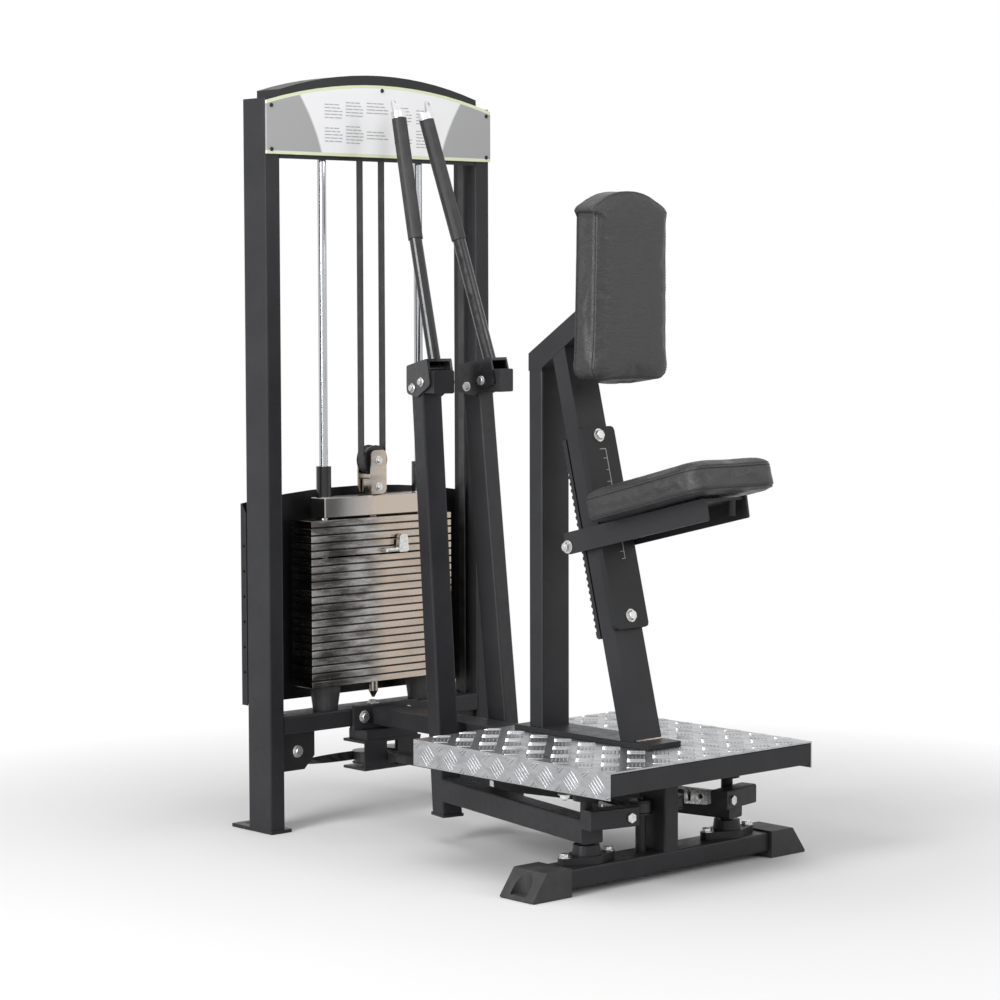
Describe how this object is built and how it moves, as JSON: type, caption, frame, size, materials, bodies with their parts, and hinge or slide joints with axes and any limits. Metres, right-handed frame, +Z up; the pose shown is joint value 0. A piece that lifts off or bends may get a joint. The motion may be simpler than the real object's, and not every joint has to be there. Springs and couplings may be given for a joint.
{
  "type": "rear deltoid machine",
  "caption": "Selectorised gym machine: a seat and chest pad on a tread deck face two outward-swinging arms that lift a weight stack by belts.",
  "frame": {"origin": "middle of the footprint's bounding box, on the floor", "axes": "+Z up, +Y from the seat towards the weight tower, +X to the rider's right as they face the tower"},
  "size_m": [0.7932, 1.2572, 1.682],
  "materials": {
    "black_coat": "dark grey-black textured powder coat",
    "placard_board": "white board with pale green border and grey ends",
    "chrome": "polished",
    "stack_steel": "ground and polished",
    "zinc": "zinc plated",
    "rubber": "matt black",
    "black_plastic": "satin black",
    "tread": "five-bar tread, mill finish",
    "leather": "black, softly wrinkled"
  },
  "bodies": {
    "machine": {"centre_pulley_cage": "black_coat", "chest_pad": "leather", "foot_beam": "black_coat", "header_arch": "black_coat", "left_bottom_pulley_box": "black_coat", "left_bumper": "rubber", "left_foot_cap": "rubber", "left_frame_belt": "rubber", "left_guide_rod": "chrome", "left_lower_bearing": "black_coat", "left_post": "black_coat", "left_upper_bearing": "black_coat", "pad_frame": "black_coat", "placard": "placard_board", "platform_frame": "black_coat", "rear_shroud": "black_coat", "resting_plates": "stack_steel", "right_bottom_pulley_box": "black_coat", "right_bumper": "rubber", "right_foot_cap": "rubber", "right_frame_belt": "rubber", "right_guide_rod": "chrome", "right_lower_bearing": "black_coat", "right_post": "black_coat", "right_upper_bearing": "black_coat", "seat_post": "black_coat", "spine": "black_coat", "tower_crossbeam": "black_coat", "tread_plate": "tread", "wear_plate": "black_coat"},
    "left_arm": {"left_arm_frame": "black_coat", "left_handle_bar": "black_coat", "left_grip": "rubber", "left_buckle": "zinc", "left_arm_belt": "rubber"},
    "right_arm": {"right_arm_frame": "black_coat", "right_handle_bar": "black_coat", "right_grip": "rubber", "right_buckle": "zinc", "right_arm_belt": "rubber"},
    "stack": {"lifted_plates": "stack_steel", "top_plate": "stack_steel", "selector_rod": "stack_steel", "stack_pulley_bracket": "black_coat", "stack_belt": "rubber"},
    "stack_wheel": {"stack_pulley": "black_plastic"},
    "pin": {"selector_pin": "zinc"},
    "seat": {"seat_carriage": "black_coat", "seat_pad": "leather"},
    "rear_roller": {"seat_roller": "black_plastic"},
    "left_inner_top_pulley_wheel": {"left_inner_top_pulley": "black_plastic"},
    "left_outer_top_pulley_wheel": {"left_outer_top_pulley": "black_plastic"},
    "left_bottom_pulley_wheel": {"left_bottom_pulley": "black_plastic"},
    "left_cage_pulley_wheel": {"left_cage_pulley": "black_plastic"},
    "left_front_roller_wheel": {"left_front_roller": "black_plastic"},
    "right_inner_top_pulley_wheel": {"right_inner_top_pulley": "black_plastic"},
    "right_outer_top_pulley_wheel": {"right_outer_top_pulley": "black_plastic"},
    "right_bottom_pulley_wheel": {"right_bottom_pulley": "black_plastic"},
    "right_cage_pulley_wheel": {"right_cage_pulley": "black_plastic"},
    "right_front_roller_wheel": {"right_front_roller": "black_plastic"}
  },
  "joints": [
    {"name": "left_arm_swing", "type": "hinge", "parent": "machine", "child": "left_arm", "pos_m": [-0.205, -0.39325, 0.1], "axis": [0, 0, 1], "range_deg": [0, 90]},
    {"name": "right_arm_swing", "type": "hinge", "parent": "machine", "child": "right_arm", "pos_m": [0.205, -0.39325, 0.1], "axis": [0, 0, 1], "range_deg": [-90.2, 0]},
    {"name": "stack_lift", "type": "slide", "parent": "machine", "child": "stack", "axis": [0, 0, 1], "range_m": [0, 0.1775], "deforming": ["stack_belt"]},
    {"name": "stack_wheel_spin", "type": "hinge", "parent": "stack", "child": "stack_wheel", "pos_m": [0, 0.52475, 0.817], "axis": [0, 1, 0], "continuous": true},
    {"name": "pin_pull", "type": "slide", "parent": "stack", "child": "pin", "axis": [0, -1, 0], "range_m": [0, 0.07]},
    {"name": "left_inner_top_pulley_spin", "type": "hinge", "parent": "machine", "child": "left_inner_top_pulley_wheel", "pos_m": [-0.063, 0.52475, 1.565], "axis": [0, 1, 0], "range_deg": [-323.1, 0]},
    {"name": "left_outer_top_pulley_spin", "type": "hinge", "parent": "machine", "child": "left_outer_top_pulley_wheel", "pos_m": [-0.241, 0.52475, 1.565], "axis": [0, 1, 0], "range_deg": [-323.1, 0]},
    {"name": "left_bottom_pulley_spin", "type": "hinge", "parent": "machine", "child": "left_bottom_pulley_wheel", "pos_m": [-0.241, 0.52475, 0.176], "axis": [0, 1, 0], "range_deg": [-323.1, 0]},
    {"name": "left_cage_pulley_spin", "type": "hinge", "parent": "machine", "child": "left_cage_pulley_wheel", "pos_m": [-0.045, 0.49325, 0.1445], "axis": [0, 0, 1], "range_deg": [-323.1, 0]},
    {"name": "left_front_roller_spin", "type": "hinge", "parent": "machine", "child": "left_front_roller_wheel", "pos_m": [-0.046, -0.38825, 0.1445], "axis": [0, 0, 1], "range_deg": [-495.5, 0]},
    {"name": "right_inner_top_pulley_spin", "type": "hinge", "parent": "machine", "child": "right_inner_top_pulley_wheel", "pos_m": [0.063, 0.52475, 1.565], "axis": [0, 1, 0], "range_deg": [0, 323.1]},
    {"name": "right_outer_top_pulley_spin", "type": "hinge", "parent": "machine", "child": "right_outer_top_pulley_wheel", "pos_m": [0.241, 0.52475, 1.565], "axis": [0, 1, 0], "range_deg": [0, 323.1]},
    {"name": "right_bottom_pulley_spin", "type": "hinge", "parent": "machine", "child": "right_bottom_pulley_wheel", "pos_m": [0.241, 0.52475, 0.176], "axis": [0, 1, 0], "range_deg": [0, 323.1]},
    {"name": "right_cage_pulley_spin", "type": "hinge", "parent": "machine", "child": "right_cage_pulley_wheel", "pos_m": [0.045, 0.49325, 0.1445], "axis": [0, 0, 1], "range_deg": [0, 323.1]},
    {"name": "right_front_roller_spin", "type": "hinge", "parent": "machine", "child": "right_front_roller_wheel", "pos_m": [0.046, -0.38825, 0.1445], "axis": [0, 0, 1], "range_deg": [0, 495.5]},
    {"name": "seat_slide", "type": "slide", "parent": "machine", "child": "seat", "axis": [0, 0.2489, 0.9685], "range_m": [-0.15, 0.17]},
    {"name": "rear_roller_spin", "type": "hinge", "parent": "seat", "child": "rear_roller", "pos_m": [0, -0.18775, 0.6665], "axis": [1, 0, 0], "continuous": true}
  ],
  "couplings": [
    {"joint": "right_arm_swing", "follows": "left_arm_swing", "ratio": -1},
    {"joint": "stack_lift", "follows": "left_arm_swing", "m_per_rad": 0.1124},
    {"joint": "left_inner_top_pulley_spin", "follows": "left_arm_swing", "ratio": -3.5683},
    {"joint": "left_outer_top_pulley_spin", "follows": "left_arm_swing", "ratio": -3.5683},
    {"joint": "left_bottom_pulley_spin", "follows": "left_arm_swing", "ratio": -3.5683},
    {"joint": "left_cage_pulley_spin", "follows": "left_arm_swing", "ratio": -3.5683},
    {"joint": "left_front_roller_spin", "follows": "left_arm_swing", "ratio": -5.4829},
    {"joint": "right_inner_top_pulley_spin", "follows": "left_arm_swing", "ratio": 3.5683},
    {"joint": "right_outer_top_pulley_spin", "follows": "left_arm_swing", "ratio": 3.5683},
    {"joint": "right_bottom_pulley_spin", "follows": "left_arm_swing", "ratio": 3.5683},
    {"joint": "right_cage_pulley_spin", "follows": "left_arm_swing", "ratio": 3.5683},
    {"joint": "right_front_roller_spin", "follows": "left_arm_swing", "ratio": 5.4829}
  ]
}
